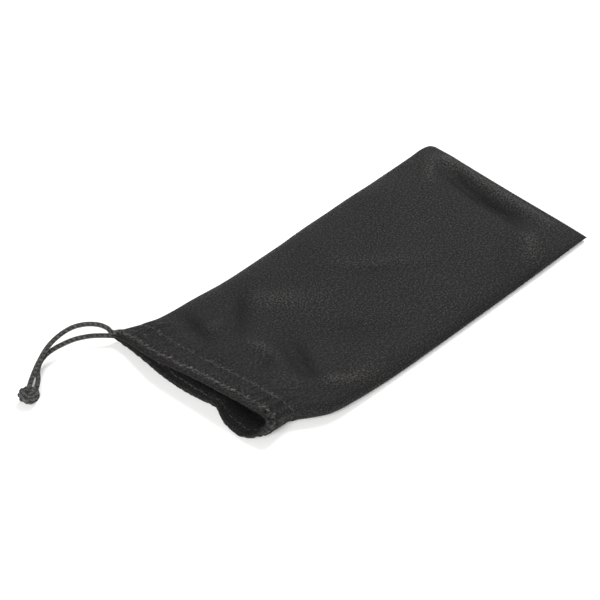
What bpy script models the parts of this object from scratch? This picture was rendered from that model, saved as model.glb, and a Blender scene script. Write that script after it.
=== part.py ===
"""Soft drawstring pouch for glasses, lying flat on its back.

Frame: +X across the pouch, from the seamed side (cord exit) to the folded side.
+Y along the pouch, from the open mouth to the closed end.  +Z up from the resting surface.
The origin is under the middle of the pouch.  Lengths below are in millimetres and are
turned into metres by MM where a mesh or a curve is made.
"""

import bmesh
import bpy
import numpy as np
from mathutils import Vector

MM = 0.001
GAP = 0.3                # clearance between pieces that touch

# Pouch cloth
WIDTH = 90.0             # flat width across the pouch
LENGTH = 187.0           # closed end to mouth edge
CLOTH = 0.6              # thickness of the microfibre
CLOSED_HEIGHT = 4.4      # outer height beside the closed end
BODY_HEIGHT = 9.6        # outer height of the middle of the body
SWELL_LENGTH = 60.0      # distance over which the height grows from the closed end
LEAN = 9.0               # how far the mouth end is pulled towards the cord exit
LEAN_START = -40.0       # y where the lean begins
LEAN_LENGTH = 50.0
LIFT_START = -50.0       # y where the lip's slant and tilt begin
LIFT_LENGTH = 40.0
LIP_SLANT = 2.0          # how much shorter the pouch is along the fold
LIP_TILT = 0.3           # how far a raised lip draws back, for each mm above LIP_LEVEL
LIP_LEVEL = 6.0
EXIT_SPLIT = 4.2         # height where front and back meet on the seamed side, at the hem
EXIT_ROLL = 2.6          # width over which both halves turn in there
PANEL_ROWS = 20          # grid rows along a panel
ROLL_ROWS = 5            # of which these turn in at the closed end
ROLL_END = np.radians(74.0)   # how far round they turn
MOUTH_BLEND = -30.0      # y where the body's outline starts to change into the mouth's
EDGE_LINES = 0.13        # how strongly the grid lines gather towards the rounded sides
SIDE_POWER = 0.36        # roundness of the outline: width, top and underside
TOP_POWER = 0.62
UNDER_POWER = 0.5
UNDER_FLAT = 1.06        # above 1 so that the middle of the underside is flat
MOST_SPLIT = 3.0         # greatest height where front and back meet along the body

# Turned-in hem that holds the cord
HEM_DEPTH = 13.5         # lip edge to lower stitching row
LIP_ROW = 2.8            # lip edge to upper stitching row
LIP_RADIUS = 0.8         # rounding of the turned lip
HEM_FLAT = 0.8           # half thickness of the hem where it is stitched
HEM_BULGE = 1.35         # extra half thickness over the cord channel
HEM_SLOPE = 3.0          # width over which the hem rises from a row to its bulge
CHANNEL_DEPTH = 5.6      # lower row to the cord's centre line

# Seams
SEAM_ALLOWANCE = 7.0     # width of the turned-in allowance
SEAM_THICKNESS = 1.2     # two layers sewn together
THREAD_RADIUS = 0.2

# Cord
CORD_DIAMETER = 2.0
KNOT_RADIUS = 4.0
KNOT_CENTRE = (-48.5, -139.7, 4.1)
TAIL_REACH = 6.4         # knot centre to the end of the cut tail
TAIL_DIRECTION = (0.80, -0.50, -0.28)

CLOSED_Y = LENGTH / 2
LIP_Y = -LENGTH / 2
HEM_Y = LIP_Y + HEM_DEPTH
HALF_WIDTH = WIDTH / 2
FOLD_GAP = 2 * GAP / WIDTH     # share of a half of the hem that is left clear at the fold

# Centre line of the cord round the mouth, seen along the pouch: x and z, from the exit over
# the raised front lip, round the fold and back along the resting side.
MOUTH_ROUTE = [
    (-45.0, 7.0), (-36.0, 7.8), (-22.0, 9.8), (-6.0, 11.6), (8.0, 12.3), (20.0, 12.5),
    (29.0, 12.45), (34.5, 12.2), (38.2, 10.7), (39.6, 7.3), (38.1, 3.8), (34.3, 2.3),
    (28.0, 2.15), (16.0, 2.15), (-8.0, 2.15), (-28.0, 2.15), (-45.0, 2.15),
]

# Free strands from the exit to the knot.
UPPER_STRAND = [
    (-50.8, -88.4, 7.1), (-51.4, -92.4, 7.3), (-53.6, -95.6, 8.4), (-56.6, -99.8, 9.6),
    (-59.4, -106.2, 10.2), (-60.0, -113.0, 9.7), (-58.9, -120.4, 8.4), (-55.9, -128.2, 6.6),
    (-51.1, -135.6, 5.3),
]
LOWER_STRAND = [
    (-50.8, -88.4, 2.0), (-51.2, -92.8, 3.2), (-52.4, -97.6, 4.2), (-55.0, -102.4, 5.1),
    (-57.6, -109.2, 5.6), (-58.9, -117.4, 5.3), (-57.6, -124.2, 4.4), (-52.0, -130.9, 3.4),
    (-47.7, -134.8, 3.4),
]


def smoothstep(value):
    """0 to 1 with level ends."""
    t = np.clip(value, 0.0, 1.0)
    return t * t * (3.0 - 2.0 * t)


def smooth_route(points, count):
    """Evenly spaced points on a Catmull-Rom curve through the given ones."""
    p = np.array(points, float)
    p = np.vstack([2 * p[0] - p[1], p, 2 * p[-1] - p[-2]])
    dense = []
    for a, b, c, d in zip(p[:-3], p[1:-2], p[2:-1], p[3:]):
        for t in np.linspace(0.0, 1.0, 24, endpoint=False):
            dense.append(0.5 * (2 * b + (c - a) * t + (2 * a - 5 * b + 4 * c - d) * t ** 2
                                + (3 * b - a - 3 * c + d) * t ** 3))
    dense.append(p[-2])
    return resample(np.array(dense), np.linspace(0.0, 1.0, count))


def resample(points, fractions):
    """Points at the given fractions of a polyline's length."""
    steps = np.linalg.norm(np.diff(points, axis=0), axis=1)
    reach = np.concatenate([[0.0], np.cumsum(steps)]) / steps.sum()
    return np.stack([np.interp(fractions, reach, column) for column in points.T], axis=1)


ROUTE = smooth_route(MOUTH_ROUTE, 401)
TURN = np.argmax(ROUTE[:, 0]) / (len(ROUTE) - 1)   # where the route passes the fold
ROUTE_STEP = 0.004       # share of the route over which its direction is taken


def route_point(half, fraction, height):
    """x and z at a fraction of one half of the mouth route, raised outwards by height."""
    reach = TURN * fraction if half == "front" else TURN + (1.0 - TURN) * fraction
    near = np.clip([reach - ROUTE_STEP, reach, reach + ROUTE_STEP], 0.0, 1.0)
    behind, here, ahead = resample(ROUTE, near)
    along = (ahead - behind) / np.linalg.norm(ahead - behind)
    return here[0] - along[1] * height, here[1] + along[0] * height


def body_height(y):
    """Outer height of the body at y."""
    rise = np.sqrt(smoothstep((CLOSED_Y - y) / SWELL_LENGTH))
    return CLOSED_HEIGHT + (BODY_HEIGHT - CLOSED_HEIGHT) * rise


def section_half(half, y):
    """Outline of one half of the body at y: x and z from the exit side to the fold."""
    top = body_height(y)
    split = min(0.5 * top, MOST_SPLIT)
    angle = np.linspace(np.pi, 0.0, 161)
    x = HALF_WIDTH * np.sign(np.cos(angle)) * np.abs(np.cos(angle)) ** SIDE_POWER
    if half == "front":
        z = split + (top - split) * np.sin(angle) ** TOP_POWER
    else:
        z = split - split * np.minimum(1.0, UNDER_FLAT * np.sin(angle) ** UNDER_POWER)
    line = np.stack([x, np.maximum(z, 0.0)], axis=1)
    return line if half == "front" else line[::-1]


def mouth_outline(half, fraction):
    """Outline of one half at the hem: it follows the cord and closes on the seamed side."""
    x, z = route_point(half, fraction, HEM_FLAT)
    inwards = np.clip((x + HALF_WIDTH) / EXIT_ROLL, 0.0, 1.0)
    return x, EXIT_SPLIT + (z - EXIT_SPLIT) * np.sqrt(inwards * (2.0 - inwards))


def body_point(half, fraction, y):
    """Point on the outside of the cloth, before the pouch leans."""
    x, z = resample(section_half(half, y), [fraction])[0]
    to_mouth = smoothstep((MOUTH_BLEND - y) / (MOUTH_BLEND - HEM_Y))
    mouth_x, mouth_z = mouth_outline(half, fraction)
    return x + (mouth_x - x) * to_mouth, y, z + (mouth_z - z) * to_mouth


def panel_point(half, across, along):
    """Outside of one half; its last rows roll in to meet the other half at the closed end."""
    clear = GAP / WIDTH
    fraction = clear + (1.0 - 2.0 * clear) * (across - EDGE_LINES * np.sin(2.0 * np.pi * across))
    radius = 0.5 * CLOSED_HEIGHT
    row = along * PANEL_ROWS
    straight = PANEL_ROWS - ROLL_ROWS
    if row <= straight:
        low = HEM_Y + GAP
        y = low + (CLOSED_Y - radius - low) * row / straight
        return lean(*body_point(half, fraction, y))
    angle = ROLL_END * (row - straight) / ROLL_ROWS
    x, y, z = body_point(half, fraction, CLOSED_Y - radius + radius * np.sin(angle))
    side = 1.0 if half == "front" else -1.0
    reach = max(abs(z - radius) * np.cos(angle), 2 * GAP)
    return lean(x, y, radius + side * reach)


def lean(x, y, z):
    """Place a point of the straight pouch where the mouth end is drawn towards the exit."""
    pulled = smoothstep((LEAN_START - y) / LEAN_LENGTH)
    lifted = smoothstep((LIFT_START - y) / LIFT_LENGTH)
    slant = LIP_SLANT * (x + HALF_WIDTH) / WIDTH + LIP_TILT * max(z - LIP_LEVEL, 0.0)
    return x + LEAN * (0.5 - pulled), y + lifted * slant, z


def hem_half_thickness(depth):
    """Half thickness of the hem at a distance from its lower stitching row."""
    rise = smoothstep(depth / HEM_SLOPE)
    rise *= 1.0 - smoothstep((depth - HEM_DEPTH + LIP_ROW + HEM_SLOPE) / HEM_SLOPE)
    return HEM_FLAT + HEM_BULGE * rise


def hem_point(half, fraction, depth, height):
    """Point of the hem: depth from the lower row towards the lip, height off the cord line."""
    x, z = route_point(half, fraction, height)
    return lean(x, HEM_Y - depth, z)


def hem_profile_point(half, fraction, turn):
    """turn runs from 1 (outer layer, lower row) through 0 (lip) to -1 (inner layer)."""
    depth = HEM_DEPTH * (1.0 - turn * turn)
    nose = min((HEM_DEPTH - depth) / LIP_RADIUS, 1.0)
    height = np.sign(turn) * hem_half_thickness(depth) * np.sqrt(nose * (2.0 - nose))
    return hem_point(half, fraction, depth, height)


def clear_scene():
    """Remove what the file already holds."""
    for old in list(bpy.data.objects):
        bpy.data.objects.remove(old, do_unlink=True)


def make_material(name, colour, roughness):
    """Plain dyed textile."""
    material = bpy.data.materials.new(name)
    material.use_nodes = True
    shader = material.node_tree.nodes["Principled BSDF"]
    shader.inputs["Base Color"].default_value = (*colour, 1.0)
    shader.inputs["Roughness"].default_value = roughness
    shader.inputs["Metallic"].default_value = 0.0
    return material


def add_object(name, data, material, collection):
    """Link a new object with one material."""
    item = bpy.data.objects.new(name, data)
    data.materials.append(material)
    collection.objects.link(item)
    return item


def make_sheet(name, across, along, place, material, collection, thickness=CLOTH):
    """Cloth of even thickness under the surface place(u, v), with u and v from 0 to 1."""
    mesh = bmesh.new()
    bmesh.ops.create_grid(mesh, x_segments=across, y_segments=along, size=0.5)
    for vertex in mesh.verts:
        point = place(vertex.co.x + 0.5, vertex.co.y + 0.5)
        vertex.co = [value * MM for value in point]
    data = bpy.data.meshes.new(name)
    mesh.to_mesh(data)
    mesh.free()
    data.shade_smooth()
    sheet = add_object(name, data, material, collection)
    solid = sheet.modifiers.new("thickness", "SOLIDIFY")
    solid.thickness = thickness * MM
    solid.offset = -1.0
    return sheet


def make_tube(name, points, radius, material, collection, resolution=2):
    """Round tube along the points, closed at both ends."""
    curve = bpy.data.curves.new(name, "CURVE")
    curve.dimensions = "3D"
    curve.bevel_depth = radius * MM
    curve.bevel_resolution = resolution
    curve.use_fill_caps = True
    spline = curve.splines.new("POLY")
    spline.points.add(len(points) - 1)
    for target, point in zip(spline.points, points):
        target.co = (*[value * MM for value in point], 1.0)
    return add_object(name, curve, material, collection)


def make_panels(cloth, collection):
    """Front and back halves of the folded cloth, from the closed end to the hem."""
    for half in ("front", "back"):
        def place(u, v, half=half):
            return panel_point(half, u, v)

        make_sheet(half + "_panel", 22, PANEL_ROWS, place, cloth, collection)


def make_casings(cloth, collection):
    """Turned-in hems of both halves, open at the lower row so that the cord lies inside."""
    for half in ("front", "back"):
        def place(u, v, half=half):
            from_fold = 1.0 - u if half == "front" else u
            from_fold = FOLD_GAP + (1.0 - FOLD_GAP) * from_fold ** 1.5
            fraction = 1.0 - from_fold if half == "front" else from_fold
            return hem_profile_point(half, fraction, 2.0 * v - 1.0)

        make_sheet(half + "_casing", 22, 18, place, cloth, collection)


def make_seams(cloth, thread, collection):
    """Seam allowances turned inside, each with the overlock thread along its free edge."""
    middle = 0.5 * CLOSED_HEIGHT
    inset = CLOTH + GAP
    left = -HALF_WIDTH + inset + 1.2
    right = HALF_WIDTH - inset - 1.6
    bottom = CLOSED_Y - inset - GAP

    def bottom_strip(u, v):
        x = left + (right - left) * u
        return lean(x, bottom - SEAM_ALLOWANCE * (1.0 - v), middle + SEAM_THICKNESS / 2)

    make_sheet("bottom_seam_allowance", 12, 2, bottom_strip, cloth, collection, SEAM_THICKNESS)

    side_top = bottom - SEAM_ALLOWANCE - GAP - 2 * THREAD_RADIUS - 2 * GAP
    side_low = HEM_Y + 1.2

    def side_height(y):
        return body_point("back", 0.999, y)[2]

    def side_strip(u, v):
        y = side_low + (side_top - side_low) * v
        x = body_point("back", 0.999, y)[0] + 2 * inset + SEAM_ALLOWANCE * u
        return lean(x, y, side_height(y) + SEAM_THICKNESS / 2)

    make_sheet("side_seam_allowance", 2, 14, side_strip, cloth, collection, SEAM_THICKNESS)

    off = THREAD_RADIUS + GAP
    line = [lean(x, bottom - SEAM_ALLOWANCE - off, middle + 0.3 * (-1) ** i)
            for i, x in enumerate(np.linspace(left + 1.0, right - 1.0, 40))]
    make_tube("bottom_overlock_thread", line, THREAD_RADIUS, thread, collection, 1)
    line = []
    for i, y in enumerate(np.linspace(side_low + 1.0, side_top - 1.0, 60)):
        x = body_point("back", 0.999, y)[0] + 2 * inset + SEAM_ALLOWANCE + off
        line.append(lean(x, y, side_height(y) + 0.3 * (-1) ** i))
    make_tube("side_overlock_thread", line, THREAD_RADIUS, thread, collection, 1)


def make_stitching(thread, collection):
    """Two rows on each half of the hem; the thread shows on the side that faces up."""
    rows = {"channel_stitching": 0.8, "lip_stitching": HEM_DEPTH - LIP_ROW}
    for half, side, first, last in (("front", 1.0, 0.02, 0.90), ("back", -1.0, 0.12, 0.97)):
        for row, depth in rows.items():
            height = side * (hem_half_thickness(depth) + THREAD_RADIUS + GAP)
            line = [hem_point(half, fraction, depth, height)
                    for fraction in np.linspace(first, last, 34)]
            make_tube(half + "_" + row, line, THREAD_RADIUS, thread, collection, 1)


def make_cord(cord, collection):
    """The cord inside the hem, and its two free strands."""
    inside = []
    for half in ("front", "back"):
        for fraction in np.linspace(0.0, 1.0, 90):
            near_exit = fraction if half == "back" else 1.0 - fraction
            depth = CHANNEL_DEPTH + 1.6 * smoothstep((near_exit - 0.6) / 0.4)
            inside.append(hem_point(half, fraction, depth, 0.0))
    inside = resample(np.array(inside), np.linspace(0.0, 1.0, 80))
    make_tube("drawstring_channel_run", inside, CORD_DIAMETER / 2, cord, collection)
    for name, points in (("upper", UPPER_STRAND), ("lower", LOWER_STRAND)):
        line = smooth_route(points, 26)
        make_tube("drawstring_strand_" + name, line, CORD_DIAMETER / 2, cord, collection)


def make_knot(cord, collection, helpers):
    """Overhand knot that ties both ends together, with a cut end standing out of it."""
    mesh = bmesh.new()
    bmesh.ops.create_uvsphere(mesh, u_segments=16, v_segments=10, radius=KNOT_RADIUS * MM)
    for vertex in mesh.verts:
        x, y, z = vertex.co
        waist = 1.0 - 0.10 * np.cos(3.0 * np.arctan2(y, x))
        vertex.co = (x * waist, y * waist, z * 0.9)
    data = bpy.data.meshes.new("end_knot")
    mesh.to_mesh(data)
    mesh.free()
    data.shade_smooth()
    knot = add_object("end_knot", data, cord, collection)
    knot.location = [value * MM for value in KNOT_CENTRE]

    mesh = bmesh.new()
    bmesh.ops.create_cone(mesh, cap_ends=True, segments=10, radius1=CORD_DIAMETER / 2 * MM,
                          radius2=CORD_DIAMETER / 2 * MM, depth=TAIL_REACH * MM)
    bmesh.ops.translate(mesh, verts=mesh.verts, vec=(0.0, 0.0, TAIL_REACH / 2 * MM))
    data = bpy.data.meshes.new("knot_tail")
    mesh.to_mesh(data)
    mesh.free()
    tail = add_object("knot_tail", data, cord, helpers)
    tail.location = knot.location
    tail.rotation_euler = Vector(TAIL_DIRECTION).to_track_quat("Z", "Y").to_euler()
    tail.hide_render = True
    tail.display_type = "WIRE"
    join = knot.modifiers.new("tail", "BOOLEAN")
    join.operation = "UNION"
    join.object = tail


def main():
    """Build the pouch."""
    clear_scene()
    pouch = bpy.data.collections.new("glasses_pouch")
    helpers = bpy.data.collections.new("cutters")
    for group in (pouch, helpers):
        bpy.context.scene.collection.children.link(group)
    cloth = make_material("black_microfibre", (0.031, 0.030, 0.030), 0.92)
    thread = make_material("black_thread", (0.045, 0.044, 0.044), 0.7)
    cord = make_material("charcoal_braid", (0.075, 0.074, 0.072), 0.75)
    make_panels(cloth, pouch)
    make_casings(cloth, pouch)
    make_seams(cloth, thread, pouch)
    make_stitching(thread, pouch)
    make_cord(cord, pouch)
    make_knot(cord, pouch, helpers)


main()
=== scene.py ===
"""Soft drawstring pouch for glasses: the looks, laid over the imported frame.

The pouch is one cut of black microfibre folded along one side, sewn along the bottom and the
other side, with its mouth turned in over a braided cord.  Shapes are worked out in
millimetres in the frame's own axes and turned into metres where a mesh is made.
"""

import logging
import math
from dataclasses import dataclass, field
from enum import Enum
from typing import ClassVar, Sequence

import bmesh
import bpy
import numpy as np
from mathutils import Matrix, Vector


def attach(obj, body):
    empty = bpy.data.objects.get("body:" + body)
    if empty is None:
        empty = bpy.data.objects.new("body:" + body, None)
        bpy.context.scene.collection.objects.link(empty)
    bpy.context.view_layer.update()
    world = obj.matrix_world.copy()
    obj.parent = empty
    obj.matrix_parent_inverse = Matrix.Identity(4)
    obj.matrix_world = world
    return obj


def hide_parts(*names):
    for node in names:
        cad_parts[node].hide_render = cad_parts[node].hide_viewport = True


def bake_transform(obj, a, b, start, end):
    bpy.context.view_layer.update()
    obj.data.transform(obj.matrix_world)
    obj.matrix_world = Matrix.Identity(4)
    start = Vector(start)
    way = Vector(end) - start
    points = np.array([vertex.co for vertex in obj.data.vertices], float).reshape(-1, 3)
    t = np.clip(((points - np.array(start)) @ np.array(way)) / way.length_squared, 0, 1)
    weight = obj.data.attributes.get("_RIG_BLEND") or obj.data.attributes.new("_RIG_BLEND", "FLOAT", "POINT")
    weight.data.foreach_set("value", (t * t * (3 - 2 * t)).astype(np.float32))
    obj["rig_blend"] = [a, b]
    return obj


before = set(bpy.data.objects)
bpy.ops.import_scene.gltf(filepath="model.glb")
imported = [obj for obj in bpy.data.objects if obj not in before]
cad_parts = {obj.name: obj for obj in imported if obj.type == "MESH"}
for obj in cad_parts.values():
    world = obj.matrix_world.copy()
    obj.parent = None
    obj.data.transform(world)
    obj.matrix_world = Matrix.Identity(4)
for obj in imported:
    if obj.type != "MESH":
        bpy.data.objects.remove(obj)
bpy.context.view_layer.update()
LOG = logging.getLogger("glasses_pouch")
MM = 0.001
CLOTH_UV_MM = 100.0      # one unit of the cloth's UV map, in mm
SAME_PLACE = 1e-7        # points closer than this, in metres, are one point


class Half(Enum):
    """Which half of the folded cloth."""

    FRONT = 0
    BACK = 1


class SeamRow(Enum):
    """Which of the hem's two rows of stitches."""

    CHANNEL = 0
    LIP = 1


# ---------------------------------------------------------------- small shared tools


def smoothstep(value: np.ndarray | float) -> np.ndarray | float:
    """0 to 1 with level ends."""
    t = np.clip(value, 0.0, 1.0)
    return t * t * (3.0 - 2.0 * t)


def smooth_through(stations: Sequence[tuple[float, float]], at: np.ndarray) -> np.ndarray:
    """Smooth curve through given stations.

    Args:
        stations: (position, value) pairs in rising order of position.
        at: positions to read.

    Returns:
        The value at each position, held level past both ends.
    """
    x, y = np.array(stations, float).T
    slope = np.gradient(y, x)
    at = np.clip(at, x[0], x[-1])
    i = np.clip(np.searchsorted(x, at) - 1, 0, len(x) - 2)
    width = x[i + 1] - x[i]
    t = (at - x[i]) / width
    return ((2 * t ** 3 - 3 * t ** 2 + 1) * y[i] + (t ** 3 - 2 * t ** 2 + t) * width * slope[i]
            + (3 * t ** 2 - 2 * t ** 3) * y[i + 1] + (t ** 3 - t ** 2) * width * slope[i + 1])


def smooth_route(points: Sequence[Sequence[float]], count: int) -> np.ndarray:
    """Evenly spaced points on a Catmull-Rom curve through the given ones.

    Args:
        points: the given points.
        count: how many to return.

    Returns:
        An array of count points.
    """
    p = np.array(points, float)
    p = np.vstack([2 * p[0] - p[1], p, 2 * p[-1] - p[-2]])
    dense = []
    for a, b, c, d in zip(p[:-3], p[1:-2], p[2:-1], p[3:]):
        for t in np.linspace(0.0, 1.0, 24, endpoint=False):
            dense.append(0.5 * (2 * b + (c - a) * t + (2 * a - 5 * b + 4 * c - d) * t ** 2
                                + (3 * b - a - 3 * c + d) * t ** 3))
    dense.append(p[-2])
    return resample(np.array(dense), np.linspace(0.0, 1.0, count))


def resample(points: np.ndarray, fractions: np.ndarray) -> np.ndarray:
    """Pick points along a polyline.

    Args:
        points: the polyline.
        fractions: shares of its length, 0 to 1.

    Returns:
        The point at each share.
    """
    steps = np.linalg.norm(np.diff(points, axis=0), axis=1)
    reach = np.concatenate([[0.0], np.cumsum(steps)]) / steps.sum()
    return np.stack([np.interp(fractions, reach, column) for column in points.T], axis=1)


def link(name: str, data: bpy.types.Mesh, material: bpy.types.Material) -> bpy.types.Object:
    """Put a mesh in the scene as one piece.

    Args:
        name: the piece's name.
        data: its mesh.
        material: its finish.

    Returns:
        The new object.
    """
    item = bpy.data.objects.new(name, data)
    data.materials.append(material)
    bpy.context.scene.collection.objects.link(item)
    return item


def sheet_mesh(name: str, points: np.ndarray, flat: np.ndarray,
               rubbed: np.ndarray | None = None) -> bpy.types.Mesh:
    """A grid of cloth.

    Args:
        name: mesh name.
        points: rows x columns x 3, in mm.
        flat: rows x columns x 2, the place of each point on the flat cloth, in mm.
        rubbed: rows x columns, painted highlight (above 0) and painted shade (below 0) at each point, or
            None.

    Returns:
        A mesh in metres with a UV map of the flat cloth and the painted highlight and shade as an attribute.
    """
    rows, columns = points.shape[:2]
    grid = bmesh.new()
    bmesh.ops.create_grid(grid, x_segments=columns - 1, y_segments=rows - 1, size=0.5)
    places = []
    for vertex in grid.verts:
        i = round((vertex.co.x + 0.5) * (columns - 1))
        j = round((vertex.co.y + 0.5) * (rows - 1))
        places.append(j * columns + i)
        vertex.co = Vector(points[j, i]) * MM
    mesh = bpy.data.meshes.new(name)
    grid.to_mesh(mesh)
    grid.free()
    corners = np.empty(len(mesh.loops), np.int32)
    mesh.loops.foreach_get("vertex_index", corners)
    uv = flat.reshape(-1, 2)[np.array(places)[corners]] / CLOTH_UV_MM
    layer = mesh.uv_layers.new(name="cloth")
    layer.data.foreach_set("uv", uv.astype(np.float32).ravel())
    # Painted highlight and painted shade are kept on the points for the cloth's finish to lighten and darken
    # by.
    if rubbed is not None:
        painted_light_layer = mesh.attributes.new("rubbed", "FLOAT", "POINT")
        painted_light_layer.data.foreach_set("value", rubbed.ravel()[places].astype(np.float32))
    mesh.shade_smooth()
    return mesh


def tube_mesh(name: str, lines: Sequence[np.ndarray], radius: float) -> bpy.types.Mesh:
    """Four-sided tubes along polylines, made with a bevelled curve.

    Args:
        name: mesh name.
        lines: each an array of points in mm.
        radius: tube radius in mm.

    Returns:
        One mesh that holds every tube.
    """
    curve = bpy.data.curves.new(name, "CURVE")
    curve.dimensions = "3D"
    curve.bevel_depth = radius * MM
    curve.bevel_resolution = 0
    curve.use_fill_caps = True
    for line in lines:
        spline = curve.splines.new("POLY")
        spline.points.add(len(line) - 1)
        flat = np.ones((len(line), 4), np.float32)
        flat[:, :3] = line * MM
        spline.points.foreach_set("co", flat.ravel())
    holder = bpy.data.objects.new(name, curve)
    mesh = bpy.data.meshes.new_from_object(holder)
    bpy.data.objects.remove(holder)
    bpy.data.curves.remove(curve)
    tidy = bmesh.new()
    tidy.from_mesh(mesh)
    bmesh.ops.remove_doubles(tidy, verts=tidy.verts, dist=SAME_PLACE)
    bmesh.ops.recalc_face_normals(tidy, faces=tidy.faces)
    tidy.to_mesh(mesh)
    tidy.free()
    mesh.shade_smooth()
    return mesh


# ---------------------------------------------------------------- finishes

WAVE_SCALE = math.pi / 10      # a Wave Texture of this scale repeats once to the unit


def linear(hex_colour: str) -> tuple[float, float, float, float]:
    """Turn a colour to the linear values that a shader takes.

    Args:
        hex_colour: sRGB, as #rrggbb.

    Returns:
        Linear red, green, blue and an alpha of 1.
    """
    parts = [int(hex_colour[i:i + 2], 16) / 255 for i in (1, 3, 5)]
    return (*[c / 12.92 if c <= 0.04045 else ((c + 0.055) / 1.055) ** 2.4 for c in parts], 1.0)


def add_node(tree: bpy.types.NodeTree, kind: str, settings: dict | None = None,
             inputs: dict | None = None) -> bpy.types.Node:
    """Add one shader node.

    Args:
        tree: the material's node tree.
        kind: node type name.
        settings: attributes of the node.
        inputs: socket name or number to a value, or to an output socket that feeds it.

    Returns:
        The node.
    """
    node = tree.nodes.new(kind)
    for name, value in (settings or {}).items():
        setattr(node, name, value)
    for name, value in (inputs or {}).items():
        if isinstance(value, bpy.types.NodeSocket):
            tree.links.new(value, node.inputs[name])
        else:
            node.inputs[name].default_value = value
    return node


def fresh_material(name: str) -> tuple[bpy.types.Material, bpy.types.NodeTree]:
    """Start a node material.

    Args:
        name: the material's name.

    Returns:
        The material, and its tree with no nodes in it.
    """
    material = bpy.data.materials.new(name)
    material.use_nodes = True
    material.node_tree.nodes.clear()
    return material, material.node_tree


def finish_surface(tree: bpy.types.NodeTree, shader: bpy.types.Node) -> None:
    """Send the shader to the material's output."""
    add_node(tree, "ShaderNodeOutputMaterial", inputs={"Surface": shader.outputs[0]})


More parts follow.
